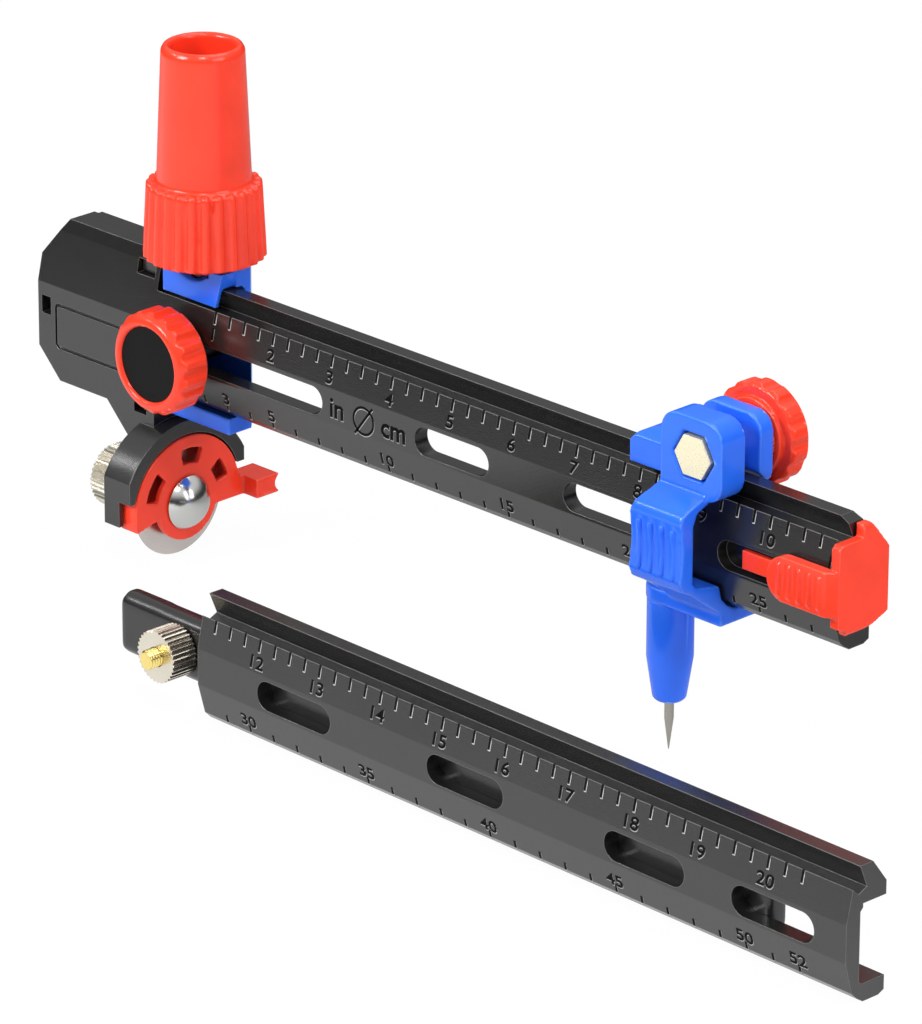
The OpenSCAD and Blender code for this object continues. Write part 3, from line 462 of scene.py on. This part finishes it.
def ring_mesh():
    """The diameter sign: a flat ring and a slanted bar through it."""
    ring = bmesh.new()
    radii = (RING_R - RING_STROKE / 2, RING_R + RING_STROKE / 2)
    rows = []
    for turn in circle(RING_STEPS):
        spoke = Vector((math.cos(turn), math.sin(turn), 0))
        rows.append([ring.verts.new(spoke * r * MM) for r in radii])
    for first, second in zip(rows, rows[1:] + rows[:1]):
        ring.faces.new((first[0], first[1], second[1], second[0]))
    lean = math.radians(RING_LEAN)
    run = Vector((math.cos(lean), math.sin(lean), 0)) * RING_SLASH * MM
    side = Vector((-math.sin(lean), math.cos(lean), 0)) * RING_STROKE / 2 * MM
    corners = (-run - side, run - side, run + side, -run + side)
    ring.faces.new([ring.verts.new(corner) for corner in corners])
    return mesh_of(ring, "diameter_sign")


def mark_mesh(low, high):
    """One mark of a scale, up and down its face."""
    corners = [(-MARK_HALF, low), (MARK_HALF, low), (MARK_HALF, high), (-MARK_HALF, high)]
    return flat_mesh("mark", corners, [(0, 1, 2, 3)])


def number_mesh(number):
    return text_mesh(str(number), NUMBER_HIGH, NUMBER_WEIGHT, NUMBER_WIDE)


def numbers(start, inches, centimetres):
    """Numbers of the scales, which read diameters: each stands half its value from the blade."""
    marks = []
    for n in inches:
        spot = face_frame(n * INCH / 2 - start, RIDGE, CREST, INCH_NUMBERS_UP)
        marks.append((number_mesh(n), spot))
    for n in centimetres:
        spot = face_frame(n * CM_STEP - start, DIP, FOOT, CM_NUMBERS_UP)
        marks.append((number_mesh(n), spot))
    return marks


def eighth_frame(eighth, start):
    """Frame on the ridge at a mark of the inch scale, one every eighth of an inch along the bar."""
    return face_frame(eighth * INCH / 8 - start, RIDGE, CREST, 1.0)


def scale_marks(start, eighths, centimetres):
    marks = []
    for n in eighths:
        marks.append((mark_mesh(-MARK_INCH, 0), eighth_frame(n, start)))
    for n in centimetres:
        marks.append((mark_mesh(0, MARK_CM), face_frame(n * CM_STEP - start, DIP, FOOT, 0.0)))
    return marks


def sign(mesh, place):
    x, share = place
    return mesh, face_frame(x, CREST, DIP, share)


def engraved(name, entries, body, carrier):
    """Joins marks into a piece of painted shade that draws the cuts and, a little lower on the
    face, painted highlights on the lit edges of its cuts.
    """
    for part, material, drop, lift in LAYERS:
        shift = Matrix.Translation(Vector((drop * LAYER_SHIFT, -drop, lift)) * MM)
        work = bmesh.new()
        for mesh, place in entries:
            copy = mesh.copy()
            copy.transform(carrier @ place @ shift)
            work.from_mesh(copy)
            bpy.data.meshes.remove(copy)
        title = f"{name}_{part}"
        piece = add_piece(title, mesh_of(work, title), material)
        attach(piece, body)


MAIN_EIGHTHS = range(4, 44)
MAIN_CM = range(2, 28)
EXTENSION_EIGHTHS = range(45, 83)
EXTENSION_CM = range(29, 53)
main_marks = numbers(0, range(1, 12), (3, 5, 10, 15, 20, 25))
main_marks += scale_marks(0, MAIN_EIGHTHS, MAIN_CM)
main_marks.append(sign(text_mesh("in", SIGN_HIGH, SIGN_WEIGHT), IN_SIGN))
main_marks.append(sign(text_mesh("cm", SIGN_HIGH, SIGN_WEIGHT), CM_SIGN))
main_marks.append(sign(ring_mesh(), RING_SIGN))
extension_marks = numbers(BAR_END, range(12, 21), (30, 35, 40, 45, 50, 52))
extension_marks += scale_marks(BAR_END, EXTENSION_EIGHTHS, EXTENSION_CM)
engraved("bar_numbers", main_marks, "beam", Matrix.Identity(4))
engraved("extension_numbers", extension_marks, "extension", EXTENSION_FRAME)


# Painted highlights on the lit ends of the inch marks and along the ridge, in millimetres; the foot
# is a share of half a mark's width
GLINT_WIDE = 0.09
GLINT_TOP = -0.5
GLINT_FOOT = 0.6
GLINT_LIFT = 0.01
RIDGE_HIGHLIGHT_WIDE = 0.09


def glint_mesh():
    """A hook round the lower right of a mark, with the ridge as its origin."""
    low, right = -MARK_INCH, MARK_HALF
    far, deep, left = right + GLINT_WIDE, low - GLINT_WIDE, -right * GLINT_FOOT
    hook = [(right, GLINT_TOP), (right, low), (left, low),
            (left, deep), (far, deep), (far, GLINT_TOP)]
    return flat_mesh("glint", hook, [(5, 0, 1, 4), (1, 2, 3, 4)])


def line_mesh():
    """The lit ridge from one mark to the next."""
    low, high = MARK_HALF + GLINT_WIDE, INCH / 8 - MARK_HALF
    line = [(low, -RIDGE_HIGHLIGHT_WIDE), (high, -RIDGE_HIGHLIGHT_WIDE), (high, 0), (low, 0)]
    return flat_mesh("line", line, [(0, 1, 2, 3)])


def glints(name, start, eighths, body, carrier):
    """Lights the ends of the inch marks, and the ridge between them."""
    lift = Matrix.Translation((0, 0, GLINT_LIFT * MM))
    work = bmesh.new()
    for eighth in eighths:
        for slot, mesh in enumerate((glint_mesh(), line_mesh())):
            mesh.transform(carrier @ eighth_frame(eighth, start) @ lift)
            for face in mesh.polygons:
                face.material_index = slot
            work.from_mesh(mesh)
            bpy.data.meshes.remove(mesh)
    piece = add_piece(name, mesh_of(work, name), GLINT, RIDGE_HIGHLIGHT)
    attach(piece, body)


glints("bar_glints", 0, MAIN_EIGHTHS, "beam", Matrix.Identity(4))
glints("extension_glints", BAR_END, EXTENSION_EIGHTHS, "extension", EXTENSION_FRAME)


# Round pieces
def tube(work, rows):
    """Faces between rings of vertices."""
    for low, high in zip(rows, rows[1:]):
        for i in range(len(low)):
            k = (i + 1) % len(low)
            work.faces.new((low[i], high[i], high[k], low[k]))


# Threaded stud of the extension, in millimetres
STUD_X = -6.9
STUD_Z = 35.8
STUD_FROM = -8.25
STUD_TO = 2.55
STUD_R = 1.5
STUD_TAPER = 0.1
THREAD_DEPTH = 0.24
THREAD_PITCH = 0.5
THREAD_AROUND = 40
THREAD_STEPS = 8


def thread_radius(y, share):
    wave = abs(((y / THREAD_PITCH + share) % 1.0) * 2 - 1)
    return STUD_R - THREAD_DEPTH * wave


def threaded_rod(name, place):
    """Rod along the local y axis whose surface follows a screw thread."""
    along = int((STUD_TO - STUD_FROM) / THREAD_PITCH * THREAD_STEPS)
    work = bmesh.new()
    rows = []
    for j in range(along + 1):
        y = STUD_FROM + (STUD_TO - STUD_FROM) * j / along
        row = []
        for i, turn in enumerate(circle(THREAD_AROUND)):
            r = thread_radius(y, i / THREAD_AROUND)
            if j in (0, along):
                r = STUD_R - THREAD_DEPTH - STUD_TAPER
            row.append(work.verts.new(Vector((r * math.cos(turn), y, r * math.sin(turn))) * MM))
        rows.append(row)
    tube(work, rows)
    work.faces.new(rows[0])
    work.faces.new(reversed(rows[-1]))
    bmesh.ops.recalc_face_normals(work, faces=work.faces)
    work.transform(place)
    mesh = mesh_of(work, name)
    mesh.shade_smooth()
    return mesh


stud_place = EXTENSION_FRAME @ Matrix.Translation(Vector((STUD_X, 0, STUD_Z)) * MM)
stud_mesh = threaded_rod("threaded_stud", stud_place)
stud_thread = add_piece("threaded_stud", stud_mesh, LOOKS["brass"])
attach(stud_thread, "extension")
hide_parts("extension_stud")


# Axle bolt with its domed head, in millimetres
WHEEL_Z = 9.0
AXLE_R = 2.9
AXLE_FROM = -15.0
AXLE_CHAMFER = 0.3
DOME_FROM = 2.7
DOME_R = 4.3
DOME_HIGH = 2.4
DOME_STEPS = 24
TURNED_STEPS = 96
POLE = 0.005


def turned(name, bands):
    """Solid turned about the wheel's axle. Each band of (x, radius) points is smooth by itself."""
    work = bmesh.new()
    for band in bands:
        rows = []
        for x, radius in band:
            spots = [(x, radius * math.cos(a), WHEEL_Z + radius * math.sin(a))
                     for a in circle(TURNED_STEPS)]
            rows.append([work.verts.new(Vector(spot) * MM) for spot in spots])
        tube(work, rows)
    bmesh.ops.recalc_face_normals(work, faces=work.faces)
    mesh = mesh_of(work, name)
    mesh.shade_smooth()
    return mesh


def dome_band():
    """Outline of the domed head, from its rim to its pole."""
    ball = (DOME_R ** 2 + DOME_HIGH ** 2) / (2 * DOME_HIGH)
    half = math.asin(DOME_R / ball)
    top = DOME_FROM + DOME_HIGH
    angles = [half * (1 - i / DOME_STEPS) for i in range(DOME_STEPS)]
    band = [(top - ball * (1 - math.cos(a)), ball * math.sin(a)) for a in angles]
    return band + [(top, POLE)]


AXLE_TIP = AXLE_R - AXLE_CHAMFER
bolt_mesh = turned("domed_axle_bolt", [
    [(AXLE_FROM, POLE), (AXLE_FROM, AXLE_TIP)],
    [(AXLE_FROM, AXLE_TIP), (AXLE_FROM + AXLE_CHAMFER, AXLE_R)],
    [(AXLE_FROM + AXLE_CHAMFER, AXLE_R), (DOME_FROM, AXLE_R)],
    [(DOME_FROM, AXLE_R), (DOME_FROM, DOME_R)],
    dome_band(),
])
bolt = add_piece("domed_axle_bolt", bolt_mesh, LOOKS["bright_steel"])
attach(bolt, "beam")
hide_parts("axle_bolt")


# Table in metres: reflections show it darker behind the tool
TABLE_SIZE = 0.8
TABLE_AT = (0.08, -0.02, -0.02 * MM)
TABLE_COLOUR = (0.9, 0.9, 0.9, 1)
TABLE_ROUGH = 0.9
TABLE_GLOW = 0.97
TABLE_BACK = 0.35
TABLE_FADE = (-0.04, 0.04)


def stage():
    """White table to the camera and in reflections, which keeps a trace of the tool's shadow."""
    bpy.ops.mesh.primitive_plane_add(size=TABLE_SIZE, location=TABLE_AT)
    floor = bpy.context.object
    floor.name = "floor"
    material, shader = new_material("floor")
    shader.inputs["Base Color"].default_value = TABLE_COLOUR
    shader.inputs["Roughness"].default_value = TABLE_ROUGH
    shader.inputs["Specular IOR Level"].default_value = 0.0
    glow = add_node(material, "ShaderNodeEmission", {"Color": (1, 1, 1, 1)})
    path = add_node(material, "ShaderNodeLightPath")
    place = add_node(material, "ShaderNodeNewGeometry")
    split = add_node(material, "ShaderNodeSeparateXYZ")
    strength = add_node(material, "ShaderNodeMath", operation="MAXIMUM")
    link(material, place.outputs["Position"], split.inputs["Vector"])
    fade = spread(material, split.outputs["Y"], 1.0, TABLE_BACK, *TABLE_FADE)
    link(material, fade, strength.inputs[0])
    link(material, path.outputs["Is Camera Ray"], strength.inputs[1])
    link(material, strength.outputs["Value"], glow.inputs["Strength"])
    seen = add_node(material, "ShaderNodeMath", operation="MAXIMUM")
    share = add_node(material, "ShaderNodeMath", {1: TABLE_GLOW}, operation="MULTIPLY")
    mix = add_node(material, "ShaderNodeMixShader")
    link(material, path.outputs["Is Camera Ray"], seen.inputs[0])
    link(material, path.outputs["Is Glossy Ray"], seen.inputs[1])
    link(material, seen.outputs["Value"], share.inputs[0])
    link(material, share.outputs["Value"], mix.inputs[0])
    link(material, shader.outputs["BSDF"], mix.inputs[1])
    link(material, glow.outputs["Emission"], mix.inputs[2])
    output = material.node_tree.nodes["Material Output"]
    link(material, mix.outputs["Shader"], output.inputs["Surface"])
    floor.data.materials.append(material)


# Surroundings: even light, and what reflections show from the horizon upwards
AMBIENT = 0.32
HORIZON = 0.03
SKY = 0.68
SKY_FROM = 0.15
SKY_TO = 0.6


def sky():
    """White to the camera, even for diffuse light, and dark at the horizon in reflections."""
    world = bpy.data.worlds.new("studio")
    bpy.context.scene.world = world
    world.use_nodes = True
    nodes, links = world.node_tree.nodes, world.node_tree.links
    nodes.clear()
    output = nodes.new("ShaderNodeOutputWorld")
    background = nodes.new("ShaderNodeBackground")
    background.inputs["Color"].default_value = (1, 1, 1, 1)
    path = nodes.new("ShaderNodeLightPath")
    place = nodes.new("ShaderNodeTexCoord")
    split = nodes.new("ShaderNodeSeparateXYZ")
    rise = nodes.new("ShaderNodeMapRange")
    rise.interpolation_type = "SMOOTHSTEP"
    rise.inputs["From Min"].default_value = SKY_FROM
    rise.inputs["From Max"].default_value = SKY_TO
    rise.inputs["To Min"].default_value = HORIZON
    rise.inputs["To Max"].default_value = SKY
    mirror = nodes.new("ShaderNodeMix")
    mirror.inputs["A"].default_value = AMBIENT
    camera = nodes.new("ShaderNodeMix")
    camera.inputs["B"].default_value = 1.0
    links.new(place.outputs["Generated"], split.inputs["Vector"])
    links.new(split.outputs["Z"], rise.inputs["Value"])
    links.new(path.outputs["Is Glossy Ray"], mirror.inputs["Factor"])
    links.new(rise.outputs["Result"], mirror.inputs["B"])
    links.new(path.outputs["Is Camera Ray"], camera.inputs["Factor"])
    links.new(mirror.outputs["Result"], camera.inputs["A"])
    links.new(camera.outputs["Result"], background.inputs["Strength"])
    links.new(background.outputs["Background"], output.inputs["Surface"])


# Soft lamps, aimed at the middle of the tool: place and size in metres, and power in watts
CENTRE = (0.08, -0.01, 0.03)
LAMPS = (
    ("key", (-0.25, -0.9, 0.65), (0.35, 0.35), 8.4),
    ("left", (-0.68, -0.58, 0.67), (0.12, 0.12), 1.2),
    ("front", (0.5, -0.48, 0.95), (0.15, 0.15), 3.0),
    ("top", (0.15, 0.25, 0.95), (0.9, 0.6), 4.5),
    ("right", (0.9, 0.05, 0.45), (0.5, 0.5), 2.6),
)


def lamp(name, spot, size, power):
    light = bpy.data.lights.new(name, "AREA")
    light.shape = "RECTANGLE"
    light.size, light.size_y = size
    light.energy = power
    holder = bpy.data.objects.new(name, light)
    bpy.context.scene.collection.objects.link(holder)
    holder.location = spot
    aim = Vector(CENTRE) - Vector(spot)
    holder.rotation_euler = aim.to_track_quat("-Z", "Y").to_euler()


def aim_camera():
    azimuth, elevation, roll = (math.radians(a) for a in (AZIMUTH, ELEVATION, ROLL))
    back = Vector((math.sin(azimuth) * math.cos(elevation),
                   -math.cos(azimuth) * math.cos(elevation),
                   math.sin(elevation)))
    level = Vector((math.cos(azimuth), math.sin(azimuth), 0))
    rise = back.cross(level)
    right = level * math.cos(roll) + rise * math.sin(roll)
    up = rise * math.cos(roll) - level * math.sin(roll)
    data = bpy.data.cameras.new("camera")
    data.sensor_fit = "VERTICAL"
    data.sensor_height = SENSOR
    data.lens = FOCAL / PHOTO_HEIGHT * SENSOR
    data.clip_start = NEAREST
    data.clip_end = FARTHEST
    camera = bpy.data.objects.new("camera", data)
    bpy.context.scene.collection.objects.link(camera)
    camera.matrix_world = Matrix.Translation(EYE) @ Matrix((right, up, back)).transposed().to_4x4()
    bpy.context.scene.camera = camera


stage()
sky()
for settings in LAMPS:
    lamp(*settings)
aim_camera()
scene = bpy.context.scene
scene.view_settings.view_transform = "Standard"
